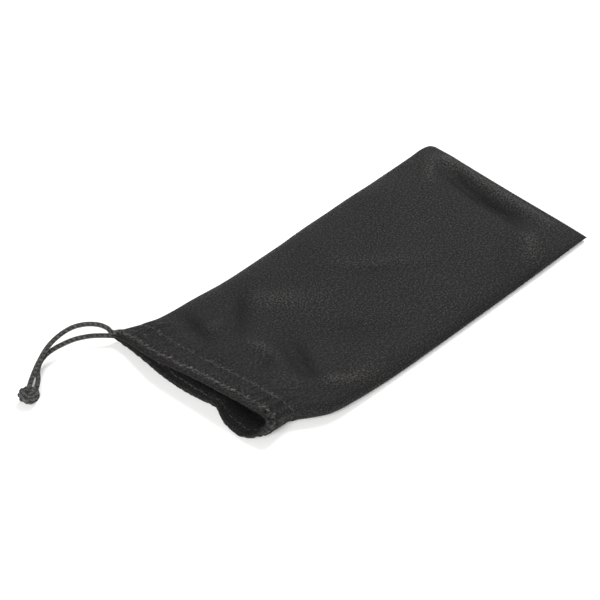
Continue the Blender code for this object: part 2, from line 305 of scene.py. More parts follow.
@dataclass(frozen=True)
class MicrofibreKnit:
    """Brushed warp-knit polyester microfibre.

    The knit gives the eye fine upright ribs crossed by courses, its face, raised by brushing, scatters
    single bright fibres over it, and the nap lights up a little at grazing angles. Painted highlight makes
    crests and ridges paler and painted shade makes valleys darker, as the cloth's attribute of painted light
    tells.
    """

    dark: str = "#040303"
    light: str = "#0e0d0d"
    fleck: str = "#2a2827"
    raised: str = "#575452"    # painted highlight: the pale colour painted on flecks along the crests
    rib_mm: float = 1.1        # real wales stand 0.4 mm apart; drawn coarser so that they show
    course_mm: float = 0.9     # real courses are 0.3 mm, and are drawn coarser too
    fleck_mm: float = 0.8      # real tufts of pile are 0.1 to 0.3 mm, drawn coarser too
    cloud_mm: float = 20.0     # patches of pile that lie different ways
    cloud: float = 0.55        # how far those patches shade the cloth
    wander: float = 0.6        # how far the ribs stray from straight
    loop_relief: float = 0.35  # height of the knit's loops against that of the fibres
    painted_light_gain: float = 0.5    # how far painted highlight lightens crests and painted shade darkens valleys
    painted_glints: float = 0.22       # how many more bright flecks the painted highlight puts on crests
    sheen: float = 0.03

    def material(self) -> bpy.types.Material:
        """Make the finish.

        Returns:
            A material that reads the cloth's UV map and its attribute of painted highlight and painted
            shade.
        """
        material, tree = fresh_material("black_microfibre_knit")
        uv = add_node(tree, "ShaderNodeUVMap", {"uv_map": "cloth"})
        flat = add_node(tree, "ShaderNodeMapping", inputs={
            "Vector": uv.outputs["UV"], "Scale": (CLOTH_UV_MM, CLOTH_UV_MM, 1.0)})
        warp = add_node(tree, "ShaderNodeTexNoise", {"noise_dimensions": "2D"}, {
            "Vector": flat.outputs[0], "Scale": 0.35, "Detail": 2.0})
        bent = add_node(tree, "ShaderNodeMixRGB", {"blend_type": "ADD"}, {
            "Fac": self.wander, "Color1": flat.outputs[0], "Color2": warp.outputs["Color"]})
        ribs = add_node(tree, "ShaderNodeTexWave", {"bands_direction": "X"}, {
            "Vector": bent.outputs[0], "Scale": WAVE_SCALE / self.rib_mm})
        courses = add_node(tree, "ShaderNodeTexWave", {"bands_direction": "Y"}, {
            "Vector": bent.outputs[0], "Scale": WAVE_SCALE / self.course_mm})
        loops = add_node(tree, "ShaderNodeMath", {"operation": "MULTIPLY"}, {
            0: ribs.outputs["Fac"], 1: courses.outputs["Fac"]})
        fibres = add_node(tree, "ShaderNodeTexNoise", {"noise_dimensions": "2D"}, {
            "Vector": flat.outputs[0], "Scale": 1.0 / self.fleck_mm, "Detail": 2.0,
            "Roughness": 0.75})
        cloud = add_node(tree, "ShaderNodeTexNoise", {"noise_dimensions": "2D"}, {
            "Vector": flat.outputs[0], "Scale": 1.0 / self.cloud_mm, "Detail": 3.0})
        height = add_node(tree, "ShaderNodeMath", {"operation": "MULTIPLY_ADD"}, {
            0: loops.outputs[0], 1: self.loop_relief, 2: fibres.outputs["Fac"]})
        rubbed = add_node(tree, "ShaderNodeAttribute", {"attribute_name": "rubbed"})
        # Painted highlight on crests and ridges and painted shade in valleys, added to the knit's height for
        # the tone.
        height_and_painted_light = add_node(tree, "ShaderNodeMath", {"operation": "MULTIPLY_ADD"}, {
            0: rubbed.outputs["Fac"], 1: self.painted_light_gain, 2: height.outputs[0]})
        shade = add_node(tree, "ShaderNodeMath", {"operation": "MULTIPLY_ADD"}, {
            0: cloud.outputs["Fac"], 1: self.cloud, 2: height_and_painted_light.outputs[0]})
        tone = add_node(tree, "ShaderNodeMapRange", inputs={
            "Value": shade.outputs[0], "From Min": 0.62, "From Max": 1.10})
        colour = add_node(tree, "ShaderNodeMixRGB", inputs={
            "Fac": tone.outputs[0], "Color1": linear(self.dark), "Color2": linear(self.light)})
        # Painted glints: more bright flecks where the painted highlight is.
        fibres_and_painted_glints = add_node(tree, "ShaderNodeMath", {"operation": "MULTIPLY_ADD"}, {
            0: rubbed.outputs["Fac"], 1: self.painted_glints, 2: fibres.outputs["Fac"]})
        spark = add_node(tree, "ShaderNodeMapRange", inputs={
            "Value": fibres_and_painted_glints.outputs[0], "From Min": 0.54, "From Max": 0.76})
        flecked = add_node(tree, "ShaderNodeMixRGB", inputs={
            "Fac": spark.outputs[0], "Color1": colour.outputs[0],
            "Color2": linear(self.fleck)})
        # Painted highlight: flecks on the crests take the pale colour.
        painted_glint_mask = add_node(tree, "ShaderNodeMath", {"operation": "MULTIPLY", "use_clamp": True}, {
            0: rubbed.outputs["Fac"], 1: spark.outputs[0]})
        faced = add_node(tree, "ShaderNodeMixRGB", inputs={
            "Fac": painted_glint_mask.outputs[0], "Color1": flecked.outputs[0],
            "Color2": linear(self.raised)})
        bump = add_node(tree, "ShaderNodeBump", inputs={
            "Height": height.outputs[0], "Strength": 0.9, "Distance": 0.3 * MM})
        rough = add_node(tree, "ShaderNodeMapRange", inputs={
            "Value": fibres.outputs["Fac"], "From Min": 0.40, "From Max": 0.66,
            "To Min": 0.84, "To Max": 0.48})
        shader = add_node(tree, "ShaderNodeBsdfPrincipled", inputs={
            "Base Color": faced.outputs[0], "Roughness": rough.outputs[0],
            "Normal": bump.outputs[0], "IOR": 1.45, "Specular IOR Level": 0.3,
            "Sheen Weight": self.sheen, "Sheen Roughness": 0.4,
            "Sheen Tint": linear("#b9b7b5")})
        finish_surface(tree, shader)
        return material


@dataclass(frozen=True)
class SewingThread:
    """Spun polyester sewing thread: two plies twisted together, with a slight gloss."""

    colour: str = "#151414"
    ply: str = "#464341"
    ply_mm: float = 0.35       # length of one twist

    def material(self) -> bpy.types.Material:
        """Make the finish.

        Returns:
            A material on Object coordinates.
        """
        material, tree = fresh_material("black_sewing_thread")
        place = add_node(tree, "ShaderNodeTexCoord")
        twist = add_node(tree, "ShaderNodeTexWave", {"bands_direction": "DIAGONAL"}, {
            "Vector": place.outputs["Object"], "Scale": WAVE_SCALE / (self.ply_mm * MM)})
        colour = add_node(tree, "ShaderNodeMixRGB", inputs={
            "Fac": twist.outputs["Fac"], "Color1": linear(self.colour),
            "Color2": linear(self.ply)})
        bump = add_node(tree, "ShaderNodeBump", inputs={
            "Height": twist.outputs["Fac"], "Strength": 0.5, "Distance": 0.05 * MM})
        shader = add_node(tree, "ShaderNodeBsdfPrincipled", inputs={
            "Base Color": colour.outputs[0], "Roughness": 0.55, "Normal": bump.outputs[0]})
        finish_surface(tree, shader)
        return material


@dataclass(frozen=True)
class BraidedPolyester:
    """Braided textured polyester cord: charcoal yarns with paler ones among them."""

    dark: str = "#070706"
    pale: str = "#55544e"
    filament_mm: float = 0.6   # real filaments are far finer; drawn so that they fleck the cord

    def material(self) -> bpy.types.Material:
        """Make the finish.

        Returns:
            A material on Object coordinates; each yarn's own shade comes from the attribute
            named yarn.
        """
        material, tree = fresh_material("charcoal_braid")
        place = add_node(tree, "ShaderNodeTexCoord")
        yarn = add_node(tree, "ShaderNodeAttribute", {"attribute_name": "yarn"})
        hairs = add_node(tree, "ShaderNodeTexNoise", inputs={
            "Vector": place.outputs["Object"], "Scale": 1.0 / (self.filament_mm * MM),
            "Detail": 2.0})
        fleck = add_node(tree, "ShaderNodeMapRange", inputs={
            "Value": hairs.outputs["Fac"], "From Min": 0.46, "From Max": 0.64})
        mix = add_node(tree, "ShaderNodeMath", {"operation": "MULTIPLY_ADD", "use_clamp": True}, {
            0: fleck.outputs[0], 1: 0.95, 2: yarn.outputs["Fac"]})
        colour = add_node(tree, "ShaderNodeMixRGB", inputs={
            "Fac": mix.outputs[0], "Color1": linear(self.dark), "Color2": linear(self.pale)})
        bump = add_node(tree, "ShaderNodeBump", inputs={
            "Height": hairs.outputs["Fac"], "Strength": 0.7, "Distance": 0.15 * MM})
        shader = add_node(tree, "ShaderNodeBsdfPrincipled", inputs={
            "Base Color": colour.outputs[0], "Roughness": 0.7, "Normal": bump.outputs[0],
            "Sheen Weight": 0.2, "Sheen Roughness": 0.4})
        finish_surface(tree, shader)
        return material


@dataclass(frozen=True)
class StudioPaper:
    """Matt white backdrop paper, with the faint tooth of uncoated stock."""

    colour: str = "#fbfbfa"
    tooth: float = 900.0       # swings of its surface to the metre, coarser than real fibres

    def material(self) -> bpy.types.Material:
        """Make the finish.

        Returns:
            A material on Object coordinates.
        """
        material, tree = fresh_material("studio_paper")
        place = add_node(tree, "ShaderNodeTexCoord")
        tooth = add_node(tree, "ShaderNodeTexNoise", inputs={
            "Vector": place.outputs["Object"], "Scale": self.tooth})
        bump = add_node(tree, "ShaderNodeBump", inputs={
            "Height": tooth.outputs["Fac"], "Strength": 0.05, "Distance": 0.1 * MM})
        shader = add_node(tree, "ShaderNodeBsdfPrincipled", inputs={
            "Base Color": linear(self.colour), "Roughness": 0.95, "Normal": bump.outputs[0]})
        finish_surface(tree, shader)
        return material


# ---------------------------------------------------------------- the pouch's form


@dataclass(frozen=True)
class Fold:
    """A soft ridge or valley pressed into the front of the pouch.

    Args:
        line: x, y points in mm that it runs along.
        width: half width of the ridge in mm.
        height: how far it stands out, negative for a valley.
        lead: share of its length over which each end fades in and out.
    """

    line: tuple[tuple[float, float], ...]
    width: float
    height: float
    lead: float = 0.5
    pieces: ClassVar[int] = 24   # straight pieces that its line is cut into

    def at(self, x: np.ndarray, y: np.ndarray) -> np.ndarray:
        """Work out how far the fold moves the cloth.

        Args:
            x: places across the pouch in mm.
            y: places along it in mm, in the same shape.

        Returns:
            Height in mm that it adds at each place.
        """
        path = resample(np.array(self.line, float), np.linspace(0.0, 1.0, self.pieces + 1))
        away = np.full(x.shape, np.inf)
        along = np.zeros(x.shape)
        for i, (a, b) in enumerate(zip(path[:-1], path[1:])):
            step = b - a
            t = np.clip(((x - a[0]) * step[0] + (y - a[1]) * step[1]) / (step @ step), 0, 1)
            gap = np.hypot(x - a[0] - t * step[0], y - a[1] - t * step[1])
            nearer = gap < away
            away = np.where(nearer, gap, away)
            along = np.where(nearer, (i + t) / self.pieces, along)
        ends = smoothstep(along / self.lead) * smoothstep((1.0 - along) / self.lead)
        width = self.width * (1.6 - 0.6 * ends)      # it opens out as it fades
        return self.height * ends * np.exp(-(away / width) ** 2)


@dataclass
class PouchForm:
    """Shape of the lying pouch: where each point of the cloth is.

    Places on the cloth are given by around (0 to 1 over the front from the seamed side to
    the fold, 1 to 2 over the back from the fold) and by down, the distance in mm from the
    closed end, or by depth, the distance from the hem's lower row towards the lip.
    """

    length: float = 187.0
    hem_depth: float = 13.0
    closed_height: float = 3.8
    body_height: float = 8.6
    swell: float = 55.0          # length over which the body rises from the closed end
    split: float = 2.4           # height of the side seam and of the fold above the floor
    hem_flat: float = 0.7        # half thickness of the hem where it is stitched
    hem_bulge: float = 1.05      # how much further it stands out over the cord
    bulge_middle: float = 2.1    # cord to the middle of that bulge, towards the lip
    bulge_reach: float = 5.0     # half width of the bulge
    lip_bead: float = 0.15       # how much fuller the rolled lip is
    lip_radius: float = 0.9
    rest: float = 0.3            # room under the hem for its stitches
    lip_row: float = 3.0         # lip to its stitching row
    channel_depth: float = 5.8   # lower row to the middle of the cord, away from the exit
    cord_share: float = 0.09     # how far round from the exit the cord turns up to the lip
    half_mouth: float = 91.0     # length of a stitching row round one half, in mm
    mix_from: float = -22.0      # y where the body starts to follow the mouth
    left: tuple = ((-96.0, -49.6), (-90.0, -47.9), (-85.0, -46.0), (-80.5, -44.7),
                   (-75.0, -42.8), (-68.0, -41.9), (-50.0, -40.9), (-20.0, -40.8),
                   (40.0, -41.1), (80.0, -41.2), (89.5, -41.3), (91.5, -40.9), (92.6, -40.0),
                   (93.5, -38.4))
    right: tuple = ((-96.0, 37.2), (-81.0, 37.2), (-77.0, 39.3), (-73.0, 42.4), (-67.5, 45.4),
                    (-60.5, 47.2), (-53.0, 47.9), (-40.0, 48.7), (-20.0, 49.3), (10.0, 49.8),
                    (60.0, 50.2), (93.5, 50.0))
    closed_dip: float = 0.8      # how far the middle of the closed end draws in
    # Middle of the rolled lip: around, x, y, z.
    lip: tuple = (
        (0.00, -50.2, -94.3, 4.6), (0.05, -46.1, -93.4, 4.6), (0.10, -41.2, -93.0, 5.3),
        (0.20, -32.5, -93.7, 6.8), (0.30, -23.0, -94.2, 8.6), (0.40, -14.0, -93.4, 9.8),
        (0.50, -5.0, -92.3, 10.7), (0.60, 4.5, -91.3, 11.5), (0.70, 13.0, -90.6, 12.0),
        (0.80, 21.5, -89.6, 12.3), (0.88, 28.5, -88.8, 12.2), (0.94, 33.0, -88.2, 11.9),
        (0.98, 35.7, -88.5, 10.8), (1.02, 36.2, -89.8, 8.6), (1.06, 34.9, -91.7, 5.6),
        (1.10, 31.8, -93.9, 3.0), (1.14, 28.0, -95.1, 1.5), (1.20, 22.4, -95.1, 1.0),
        (1.27, 16.2, -93.8, 1.0), (1.35, 8.8, -90.6, 1.2), (1.42, 2.5, -91.7, 1.0),
        (1.50, -5.0, -92.9, 1.0), (1.65, -19.0, -93.5, 1.0), (1.80, -32.0, -92.6, 1.1),
        (1.92, -43.2, -92.5, 1.7), (2.00, -50.0, -93.8, 3.2))
    # Middle of the hem at its lower stitching row.
    row: tuple = (
        (0.00, -44.6, -80.3, 4.0), (0.05, -41.2, -80.4, 5.4), (0.10, -37.5, -80.5, 6.4),
        (0.20, -28.5, -80.9, 7.6), (0.30, -19.5, -81.2, 8.8), (0.40, -10.5, -81.0, 9.8),
        (0.50, -1.5, -80.2, 10.6), (0.60, 7.5, -79.2, 11.2), (0.70, 16.0, -78.1, 11.4),
        (0.80, 24.0, -77.0, 11.2), (0.88, 30.0, -76.0, 10.5), (0.94, 34.0, -75.2, 9.4),
        (0.98, 36.3, -75.1, 8.0), (1.02, 37.2, -75.4, 6.2), (1.06, 37.0, -75.9, 4.4),
        (1.10, 35.6, -76.7, 2.9), (1.14, 32.4, -77.5, 2.0), (1.20, 27.4, -78.3, 1.7),
        (1.27, 21.2, -78.9, 1.6), (1.35, 14.0, -79.3, 1.6), (1.50, 0.0, -79.9, 1.6),
        (1.65, -13.6, -80.3, 1.6), (1.80, -27.0, -80.5, 1.6), (1.92, -38.0, -80.5, 2.0),
        (2.00, -44.6, -80.3, 3.2))
    folds: tuple = field(default_factory=tuple)

    @property
    def hem_y(self) -> float:
        """y of the hem's lower stitching row on the straight pouch."""
        return -self.length / 2 + self.hem_depth

    def along_mouth(self, stations: tuple, around: np.ndarray) -> np.ndarray:
        """Read a curve round the mouth.

        Args:
            stations: (around, x, y, z) of the curve.
            around: places to read.

        Returns:
            Points in mm.
        """
        table = np.array(stations)
        return np.stack([smooth_through(table[:, [0, k]], around) for k in (1, 2, 3)], axis=-1)

    def body(self, around: np.ndarray, y: np.ndarray) -> np.ndarray:
        """Read the straight body.

        Args:
            around: places round the pouch.
            y: where along the pouch, in mm.

        Returns:
            Points of its outline in mm.
        """
        part = np.where(around <= 1.0, around, 2.0 - around)
        # The columns crowd towards both edges, where the cloth turns over.
        across = part - 0.93 * np.sin(2 * np.pi * part) / (2 * np.pi)
        edge = np.abs(2 * across - 1.0)
        rise = np.sqrt(smoothstep((self.length / 2 - y) / self.swell))
        top = self.closed_height + (self.body_height - self.closed_height) * rise
        split = np.minimum(0.5 * top, self.split)
        # A broad flat crown with soft shoulders, over an underside that lies flat.
        crown = (1.0 - edge ** 4.2) ** 0.62
        under = np.minimum(1.0, 1.02 * (1.0 - edge ** 14.0) ** 0.5)
        z = np.where(around <= 1.0, split + (top - split) * crown, split * (1.0 - under))
        left, right = smooth_through(self.left, y), smooth_through(self.right, y)
        dip = self.closed_dip * (1.0 - edge ** 2) * smoothstep((y - 60.0) / 33.5)
        return np.stack([left + across * (right - left), y - dip, z], axis=-1)

    def hem_middle(self, around: np.ndarray, depth: np.ndarray) -> np.ndarray:
        """Read the surface half way between the hem's two layers.

        Args:
            around: places round the mouth.
            depth: distances from the lower row towards the lip, in mm.

        Returns:
            Points in mm, high enough that the lower layer rests on the floor.
        """
        share = (depth / self.hem_depth)[..., None]
        points = (1.0 - share) * self.along_mouth(self.row, around) \
            + share * self.along_mouth(self.lip, around)
        points[..., 2] = np.maximum(points[..., 2], self.hem_half(around, depth) + self.rest)
        return points

    def hem_normal(self, around: np.ndarray, depth: np.ndarray) -> np.ndarray:
        """Find which way the hem faces.

        Args:
            around: places round the mouth.
            depth: distances from the lower row towards the lip, in mm.

        Returns:
            Outward unit normals.
        """
        round_it = self.hem_middle(around + 0.01, depth) - self.hem_middle(around - 0.01, depth)
        down_it = self.hem_middle(around, depth + 0.5) - self.hem_middle(around, depth - 0.5)
        normal = np.cross(down_it, round_it)
        return normal / np.linalg.norm(normal, axis=-1, keepdims=True)

    def near_exit(self, around: np.ndarray) -> np.ndarray:
        """1 at the corner where the cord leaves the hem, fading to 0 along both halves."""
        return 1.0 - smoothstep(np.minimum(around, 2.0 - around) / self.cord_share)

    def hem_half(self, around: np.ndarray, depth: np.ndarray) -> np.ndarray:
        """Measure the hem, stitched flat at its rows and full over the cord.

        Args:
            around: places round the mouth.
            depth: distances from the lower row towards the lip, in mm.

        Returns:
            Half its thickness in mm.
        """
        # At the exit the cord turns up to the lip, so the bulge moves there and narrows.
        near_exit = self.near_exit(around)
        middle = self.channel_depth + self.bulge_middle + 2.3 * near_exit
        wide = self.bulge_reach - 2.2 * near_exit
        full = np.clip(1.0 - ((depth - middle) / wide) ** 2, 0.0, 1.0) ** 1.5
        lip = self.lip_bead * np.exp(-((depth - self.hem_depth + 1.1) / 0.9) ** 2)
        return (1.0 - 0.3 * near_exit) * (self.hem_flat + self.hem_bulge * full + lip)

    def hem(self, around: np.ndarray, depth: np.ndarray, height: np.ndarray) -> np.ndarray:
        """Find points of the hem.

        Args:
            around: places round the mouth.
            depth: distances from the lower row towards the lip, in mm.
            height: how far out from the hem's middle, in mm.

        Returns:
            Points in mm.
        """
        return self.hem_middle(around, depth) \
            + self.hem_normal(around, depth) * height[..., None]

    def outside(self, around: np.ndarray, down: np.ndarray) -> np.ndarray:
        """Find points on the outside of the pouch, from the closed end to the lower row.

        Args:
            around: places round the pouch.
            down: distances from the closed end in mm.

        Returns:
            Points in mm.
        """
        y = self.length / 2 - down
        mix = smoothstep((self.mix_from - y) / (self.mix_from - self.hem_y))[..., None]
        zero = np.zeros_like(around)
        sewn = self.hem(around, zero, zero + self.hem_flat)
        return self.body(around, y) + mix * (sewn - self.body(around, zero + self.hem_y))


# ---------------------------------------------------------------- the cloth


def ripples(along: np.ndarray, seed: int, spacing: float) -> np.ndarray:
    """Uneven waves along a row of stitches, about -1 to 1.

    Args:
        along: distance along the row in mm.
        seed: which set of waves.
        spacing: mean distance from crest to crest in mm.

    Returns:
        The wave's height at each place.
    """
    chance = np.random.default_rng(seed)
    wave = np.zeros_like(along)
    for _ in range(7):
        period = spacing * chance.uniform(0.7, 1.7)
        wave += chance.uniform(0.3, 1.0) * np.sin(2 * np.pi * along / period
                                                  + chance.uniform(0.0, 2 * np.pi))
    return wave / 2.6


@dataclass
class MainCloth:
    """The folded cut of microfibre: body, turned-in hem and the facing inside it."""

    form: PouchForm
    finish: bpy.types.Material
    thickness: float = 0.45
    roll: float = 1.9            # radius of the turned closed end
    columns: int = 240
    body_step: float = 1.3
    roll_rows: int = 8
    hem_rows: int = 34
    facing_rows: int = 26
    pucker: float = 0.55         # how high the puckers by the stitching stand
    drape: float = 0.4           # how high the soft unevenness of the body stands
    pucker_fade: float = 7.0     # how far up the body the puckers die away
    groove: float = 0.55         # half width of the groove that a stitching row pulls in
    fold_painted_light: float = 0.24     # painted highlight on ridges and painted shade in valleys, for each mm that a fold stands out or sinks in
    crest_painted_highlight: float = 0.55     # painted highlight on the crests of the puckers by a stitching row

    @property
    def roll_extra(self) -> float:
        """Cloth that the rolled closed end takes up beyond its straight depth."""
        return self.roll * np.pi / 2 - self.roll

    def columns_around(self) -> np.ndarray:
        """Where the grid's columns stand around the pouch."""
        return np.linspace(0.0, 2.0, self.columns + 1)

    def base(self) -> tuple[np.ndarray, np.ndarray]:
        """Lay out the smooth surface, before folds and puckers.

        Returns:
            Points, rows x columns x 3 in mm, and the distance of each row from the closed
            end along the cloth.
        """
        form = self.form
        around = self.columns_around()
        body_end = form.length - form.hem_depth
        rows, cloth_at = [], []
        split = 0.5 * form.closed_height
        for angle in np.linspace(0.0, 1.0, self.roll_rows) * np.pi / 2:
            points = form.outside(around, np.full_like(around, self.roll * (1 - np.cos(angle))))
            points[:, 2] = split + (points[:, 2] - split) * np.sin(angle)
            rows.append(points)
            cloth_at.append(self.roll * angle)
        start = self.roll_extra
        body_rows = round((body_end - self.roll) / self.body_step)
        for down in np.linspace(self.roll, body_end, body_rows)[1:]:
            rows.append(form.outside(around, np.full_like(around, down)))
            cloth_at.append(start + down)
        turns = np.concatenate([np.linspace(1.0, 0.0, self.hem_rows + 1)[1:],
                                np.linspace(0.0, -1.0, self.facing_rows + 1)[1:]])
        for turn in turns:      # 1 at the lower row, 0 at the lip, -1 at the facing's edge
            depth = np.full_like(around, form.hem_depth * (1.0 - abs(turn) ** 1.8))
            nose = np.clip((form.hem_depth - depth) / form.lip_radius, 0.0, 1.0)
            height = np.sign(turn) * form.hem_half(around, depth) * np.sqrt(nose * (2 - nose))
            rows.append(form.hem(around, depth, height))
            reach = start + body_end + depth[0]
            cloth_at.append(reach if turn >= 0 else 2 * (start + form.length) - reach)
        return np.array(rows), np.array(cloth_at)

    def build(self) -> bpy.types.Object:
        """Make the cloth as one sheet with its own thickness.

        Returns:
            The piece.
        """
        points, cloth_at = self.base()
        steps = np.linalg.norm(np.diff(points, axis=1), axis=2)
        reach = np.concatenate([np.zeros((len(points), 1)), np.cumsum(steps, axis=1)], axis=1)
        reach = reach - reach[:, [self.columns // 2]]
        down = np.repeat(cloth_at[:, None], reach.shape[1], axis=1)
        flat = np.stack([reach, down], axis=2)
        # The cloth also carries painted highlight and painted shade, for its finish to lighten and darken
        # by.
        points, rubbed = self.pressed(points, flat)
        mesh = sheet_mesh("main_cloth", points[::-1], flat[::-1], rubbed[::-1])
        piece = link("main_cloth", mesh, self.finish)
        solid = piece.modifiers.new("thickness", "SOLIDIFY")
        solid.thickness = self.thickness * MM
        solid.offset = -1.0
        LOG.info("main_cloth: %d points", len(mesh.vertices))
        return piece

    def pressed(self, points: np.ndarray, flat: np.ndarray) -> tuple[np.ndarray, np.ndarray]:
        """Press folds, puckers and soft unevenness into the smooth surface.

        Args:
            points: the smooth surface, rows x columns x 3 in mm.
            flat: the place of each point on the flat cloth in mm.

        Returns:
            The moved points, and the painted highlight (above 0) and painted shade (below 0) at each.
        """
        across = np.gradient(points, axis=1)
        along = np.gradient(points, axis=0)
        normal = np.cross(along, across)
        normal /= np.maximum(np.linalg.norm(normal, axis=2, keepdims=True), 1e-9)
        around = self.columns_around()
        front = smoothstep((1.02 - around) / 0.10)[None, :]      # fades out at the fold side
        x, y = points[..., 0], points[..., 1]
        raised = np.zeros(points.shape[:2])
        for fold in self.form.folds:
            raised += front * fold.at(x, y)
        rubbed = self.fold_painted_light * raised        # painted highlight on ridges, painted shade in valleys
        lip_at = self.roll_extra + self.form.length
        inside = smoothstep((flat[..., 1] - lip_at) / 3.0)
        waves, crests = self.puckers(flat)
        # Painted highlight along the pucker crests by both stitching rows, on the outside of the hem.
        for crest in crests:
            rubbed += crest * (1.0 - inside)
        ends = smoothstep((around * (2 - around)) / 0.12)[None, :]
        raised += self.pucker * waves * ends * (1.0 - 0.6 * inside)
        # The body's soft unevenness, which stops short of both ends.
        soft = np.sin(x / 9.0 + 1.3 * np.sin(y / 17.0)) \
            * np.sin(y / 13.0 + 0.9 * np.sin(x / 14.0))
        fade = smoothstep((85.0 - y) / 30.0) * smoothstep((y + 76.0) / 20.0)
        raised += self.drape * soft * front * fade
        points = points + normal * raised[..., None]
        points[..., 2] = np.maximum(points[..., 2], 0.0)
        return points, np.clip(rubbed, -0.6, 1.0)

    def puckers(self, flat: np.ndarray) -> tuple[np.ndarray, list[np.ndarray]]:
        """Gather the cloth by the hem's two stitching rows.

        Args:
            flat: the place of each point on the flat cloth in mm.

        Returns:
            The height of the puckers, about -1 to 1, and for each row the painted highlight along its
            crests.
        """
        along, down = flat[..., 0], flat[..., 1]
        row_at = self.roll_extra + self.form.length - self.form.hem_depth
        lip_at = self.roll_extra + self.form.length
        to_row = down - row_at
        above = np.where(to_row < 0, np.exp(to_row / self.pucker_fade), 1.0)
        waves = ripples(along, 5, 4.0) * np.exp(-(to_row / 5.5) ** 2)
        edge = 1.0 - 0.85 * np.exp(-((down - lip_at) / 2.2) ** 2)      # the lip stays smooth
        waves += ripples(along + 0.25 * to_row, 8, 4.8) * 0.9 * above * edge
        # Each row: seed, place down the cloth, reach of its puckers, strength.
        rows = ((21, row_at + 0.5, 1.5, 1.3), (22, lip_at - self.form.lip_row, 2.0, 2.0))
        crests = []
        for seed, seam_at, reach, strength in rows:
            gap = down - seam_at
            near = np.exp(-(gap / reach) ** 2)
            seam = np.exp(-(gap / self.groove) ** 2)
            short = ripples(along + 0.5 * np.abs(gap), seed, 2.7)
            waves = waves * (1.0 - 0.7 * seam) - 0.4 * seam \
                + strength * short * near * (1.0 - 0.6 * seam)
            # Where along the row the crests get painted highlight.
            crest = smoothstep(0.45 + 0.8 * ripples(along + 0.8 * gap, seed + 10, 2.2))
            crests.append(self.crest_painted_highlight * strength * crest
                          * np.exp(-(gap / (0.55 * reach)) ** 2))
        return waves, crests


@dataclass
class Stitching:
    """Rows of lockstitch through the hem, one piece for each row on each half."""

    form: PouchForm
    finish: bpy.types.Material
    pitch: float = 2.7           # real rows have 9 or 10 stitches to the inch
    length: float = 2.1
    thread: float = 0.19         # radius
    channel_row: float = 0.5     # depth of the lower row in the hem

    def stitch(self, around: float, depth: float, side: float, proud: float) -> np.ndarray:
        """One stitch, sunk at both ends.

        Args:
            around: place of its middle.
            depth: depth of the row in the hem.
            side: 1 on the outside of the hem and -1 on its facing.
            proud: how far it stands out of the cloth in mm.

        Returns:
            Points in mm.
        """
        share = np.array([-0.5, -0.36, -0.12, 0.12, 0.36, 0.5])
        lift = np.array([-0.30, 0.0, 0.06, 0.06, 0.0, -0.30]) + proud
        at = around + share * self.length / self.form.half_mouth
        deep = np.full(len(share), depth)
        return self.form.hem(at, deep, side * (self.form.hem_half(at, deep) + lift))

    def row(self, half: Half, kind: SeamRow, depth: float, first: float, last: float) -> None:
        """Make one row and lay it over its CAD node.

        Args:
            half: the half of the cloth that it is on.
            kind: which of the hem's two rows it is.
            depth: its depth in the hem in mm.
            first: where on the half it starts, 0 to 1.
            last: where it ends.
        """
        name = f"{half.name.lower()}_{kind.name.lower()}_stitching"
        count = round((last - first) * self.form.half_mouth / self.pitch)
        chance = np.random.default_rng(len(name))
        sink = 0.2 * ripples(np.arange(count) * self.pitch, len(name), 9.0) - 0.10
        lines = []
        for i in range(count):
            at = half.value + first + (last - first) * (i + 0.5) / count
            stray = chance.uniform(-0.28, 0.28)
            proud = min(sink[i] + chance.uniform(-0.16, 0.14), 0.12)
            lines.append(self.stitch(at, depth + stray, 1.0, proud))
            lines.append(self.stitch(at + 0.5 * (last - first) / count, depth + stray, -1.0,
                                     proud))
        mesh = tube_mesh(name + "_thread", lines, self.thread)
        piece = link(name + "_thread", mesh, self.finish)
        gather(piece)
        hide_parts(name)
        LOG.info("%s: %d stitches", piece.name, count)

    def build(self) -> None:
        """Sew all four rows."""
        lip = self.form.hem_depth - self.form.lip_row
        for half, first, last in ((Half.FRONT, 0.02, 0.98), (Half.BACK, 0.03, 0.98)):
            self.row(half, SeamRow.CHANNEL, self.channel_row, first, last)
            self.row(half, SeamRow.LIP, lip, first + 0.02, last - 0.02 * half.value)


